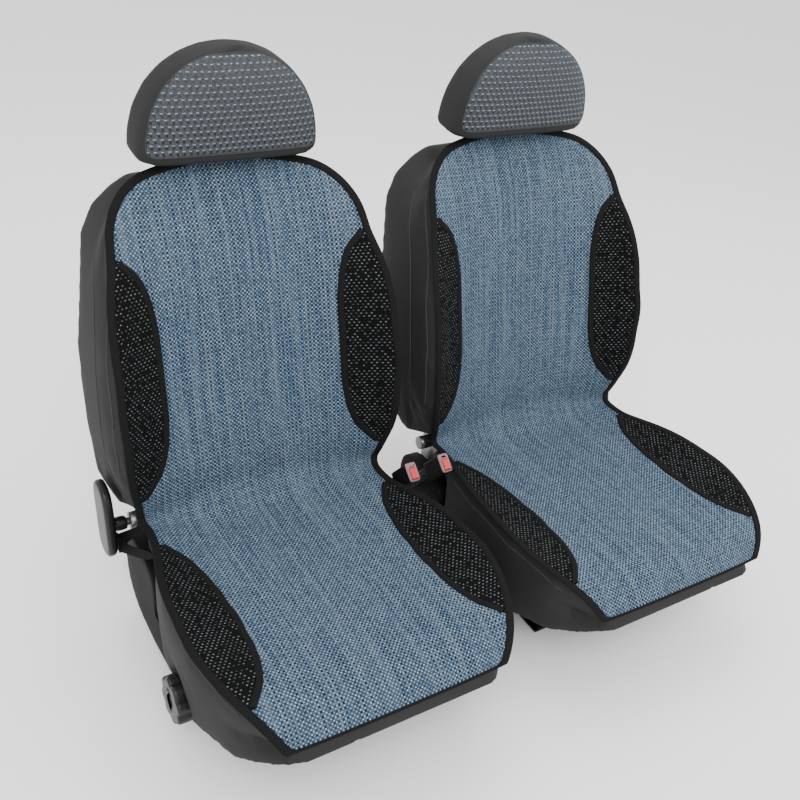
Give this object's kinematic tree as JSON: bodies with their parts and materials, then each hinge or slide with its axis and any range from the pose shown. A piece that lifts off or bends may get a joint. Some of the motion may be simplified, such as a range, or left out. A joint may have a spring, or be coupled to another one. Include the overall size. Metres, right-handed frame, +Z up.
{
  "type": "seat cover set",
  "caption": "Front seat cover set: tweed centre mats with mesh side panels, bound edges and elastic straps, fitted on reclining bucket seats with headrests.",
  "frame": {"origin": "centre of the bounding box on the floor under the seats", "axes": "+X from the left_ seat to the right_ seat, -Y the way the seats face, +Z up"},
  "size_m": [1.2324, 0.8526, 1.0553],
  "materials": {
    "tweed": "coarse basket-check tweed in blue, white and grey",
    "spacer_mesh": "black open spacer mesh with fine white dots",
    "upholstery": "dark grey flat-woven upholstery, matt",
    "plastic": "black moulded plastic, satin",
    "steel": "bright zinc-plated steel",
    "dark_steel": "black painted steel",
    "button_red": "glossy translucent red",
    "elastic": "black ribbed elastic webbing"
  },
  "bodies": {
    "floor": {"left_floor_rails": "dark_steel", "right_floor_rails": "dark_steel"},
    "left_slide": {"left_slider": "dark_steel"},
    "left_seat": {"left_cushion_pan": "dark_steel", "left_hinge_plate_out": "steel", "left_hinge_plate_in": "steel", "left_side_shield_out": "plastic", "left_side_shield_in": "plastic", "left_cushion_pad": "upholstery", "left_seat_mat": "tweed", "left_seat_side_out": "spacer_mesh", "left_seat_side_in": "spacer_mesh", "left_cover_strap": "elastic"},
    "left_bar": {"left_slide_bar": "dark_steel"},
    "left_wheel": {"left_hand_wheel": "plastic"},
    "left_lever": {"left_recliner_shaft": "steel", "left_recliner_handle": "plastic"},
    "left_back": {"left_back_frame": "dark_steel", "left_back_pad": "upholstery", "left_back_panel": "plastic", "left_headrest_guide_out": "plastic", "left_headrest_guide_in": "plastic", "left_back_mat": "tweed", "left_back_side_out": "spacer_mesh", "left_back_side_in": "spacer_mesh"},
    "left_guide_catch": {"left_guide_button": "plastic"},
    "left_headrest": {"left_headrest_posts": "steel", "left_headrest_pad": "upholstery"},
    "left_buckle": {"left_buckle_stalk": "dark_steel", "left_buckle_body": "plastic"},
    "left_buckle_catch": {"left_buckle_button": "button_red"},
    "right_slide": {"right_slider": "dark_steel"},
    "right_seat": {"right_cushion_pan": "dark_steel", "right_hinge_plate_out": "steel", "right_hinge_plate_in": "steel", "right_side_shield_out": "plastic", "right_side_shield_in": "plastic", "right_cushion_pad": "upholstery", "right_seat_mat": "tweed", "right_seat_side_out": "spacer_mesh", "right_seat_side_in": "spacer_mesh", "right_cover_strap": "elastic"},
    "right_bar": {"right_slide_bar": "dark_steel"},
    "right_wheel": {"right_hand_wheel": "plastic"},
    "right_lever": {"right_recliner_shaft": "steel", "right_recliner_handle": "plastic"},
    "right_back": {"right_back_frame": "dark_steel", "right_back_pad": "upholstery", "right_back_panel": "plastic", "right_headrest_guide_out": "plastic", "right_headrest_guide_in": "plastic", "right_back_mat": "tweed", "right_back_side_out": "spacer_mesh", "right_back_side_in": "spacer_mesh"},
    "right_guide_catch": {"right_guide_button": "plastic"},
    "right_headrest": {"right_headrest_posts": "steel", "right_headrest_pad": "upholstery"},
    "right_buckle": {"right_buckle_stalk": "dark_steel", "right_buckle_body": "plastic"},
    "right_buckle_catch": {"right_buckle_button": "button_red"}
  },
  "joints": [
    {"name": "left_fore_aft", "type": "slide", "parent": "floor", "child": "left_slide", "axis": [0, -1, 0], "range_m": [-0.09, 0.09]},
    {"name": "left_front_tilt", "type": "hinge", "parent": "left_slide", "child": "left_seat", "pos_m": [-0.31725, 0.14128, 0.1081], "axis": [-1, 0, 0], "range_deg": [0, 4]},
    {"name": "left_wheel_turn", "type": "hinge", "parent": "left_seat", "child": "left_wheel", "pos_m": [-0.59737, -0.15764, 0.11092], "axis": [-1, 0, 0], "range_deg": [0, 360]},
    {"name": "left_bar_lift", "type": "hinge", "parent": "left_slide", "child": "left_bar", "pos_m": [-0.31725, -0.13978, 0.03948], "axis": [-1, 0, 0], "range_deg": [0, 8], "stiffness_Nm_per_rad": 1, "springref_deg": -20.05},
    {"name": "left_recline", "type": "hinge", "parent": "left_seat", "child": "left_back", "pos_m": [-0.31725, 0.16008, 0.2444], "axis": [-1, 0, 0], "range_deg": [-6, 45]},
    {"name": "left_lever_lift", "type": "hinge", "parent": "left_seat", "child": "left_lever", "pos_m": [-0.31725, 0.16008, 0.2444], "axis": [1, 0, 0], "range_deg": [0, 20], "stiffness_Nm_per_rad": 2, "springref_deg": -17.19},
    {"name": "left_headrest_height", "type": "slide", "parent": "left_back", "child": "left_headrest", "axis": [0, 0.3907, 0.9205], "range_m": [0, 0.056]},
    {"name": "left_guide_press", "type": "slide", "parent": "left_back", "child": "left_guide_catch", "axis": [1, 0, 0], "range_m": [0, 0.003], "stiffness_N_per_m": 300, "springref_m": -0.002},
    {"name": "left_buckle_swing", "type": "hinge", "parent": "left_seat", "child": "left_buckle", "pos_m": [-0.05311, 0.16008, 0.13912], "axis": [1, 0, 0], "range_deg": [-10, 8]},
    {"name": "left_buckle_press", "type": "slide", "parent": "left_buckle", "child": "left_buckle_catch", "axis": [0, 0.6222, -0.7828], "range_m": [0, 0.003], "stiffness_N_per_m": 400, "springref_m": -0.002},
    {"name": "right_fore_aft", "type": "slide", "parent": "floor", "child": "right_slide", "axis": [0, -1, 0], "range_m": [-0.09, 0.09]},
    {"name": "right_front_tilt", "type": "hinge", "parent": "right_slide", "child": "right_seat", "pos_m": [0.31725, 0.14128, 0.1081], "axis": [-1, 0, 0], "range_deg": [0, 4]},
    {"name": "right_wheel_turn", "type": "hinge", "parent": "right_seat", "child": "right_wheel", "pos_m": [0.59737, -0.15764, 0.11092], "axis": [-1, 0, 0], "range_deg": [0, 360]},
    {"name": "right_bar_lift", "type": "hinge", "parent": "right_slide", "child": "right_bar", "pos_m": [0.31725, -0.13978, 0.03948], "axis": [-1, 0, 0], "range_deg": [0, 8], "stiffness_Nm_per_rad": 1, "springref_deg": -20.05},
    {"name": "right_recline", "type": "hinge", "parent": "right_seat", "child": "right_back", "pos_m": [0.31725, 0.16008, 0.2444], "axis": [-1, 0, 0], "range_deg": [-6, 45]},
    {"name": "right_lever_lift", "type": "hinge", "parent": "right_seat", "child": "right_lever", "pos_m": [0.31725, 0.16008, 0.2444], "axis": [1, 0, 0], "range_deg": [0, 20], "stiffness_Nm_per_rad": 2, "springref_deg": -17.19},
    {"name": "right_headrest_height", "type": "slide", "parent": "right_back", "child": "right_headrest", "axis": [0, 0.3907, 0.9205], "range_m": [0, 0.056]},
    {"name": "right_guide_press", "type": "slide", "parent": "right_back", "child": "right_guide_catch", "axis": [-1, 0, 0], "range_m": [0, 0.003], "stiffness_N_per_m": 300, "springref_m": -0.002},
    {"name": "right_buckle_swing", "type": "hinge", "parent": "right_seat", "child": "right_buckle", "pos_m": [0.05311, 0.16008, 0.13912], "axis": [1, 0, 0], "range_deg": [-10, 8]},
    {"name": "right_buckle_press", "type": "slide", "parent": "right_buckle", "child": "right_buckle_catch", "axis": [0, 0.6222, -0.7828], "range_m": [0, 0.003], "stiffness_N_per_m": 400, "springref_m": -0.002}
  ],
  "couplings": [
    {"joint": "left_wheel_turn", "follows": "left_front_tilt", "ratio": 90},
    {"joint": "right_wheel_turn", "follows": "right_front_tilt", "ratio": 90}
  ]
}
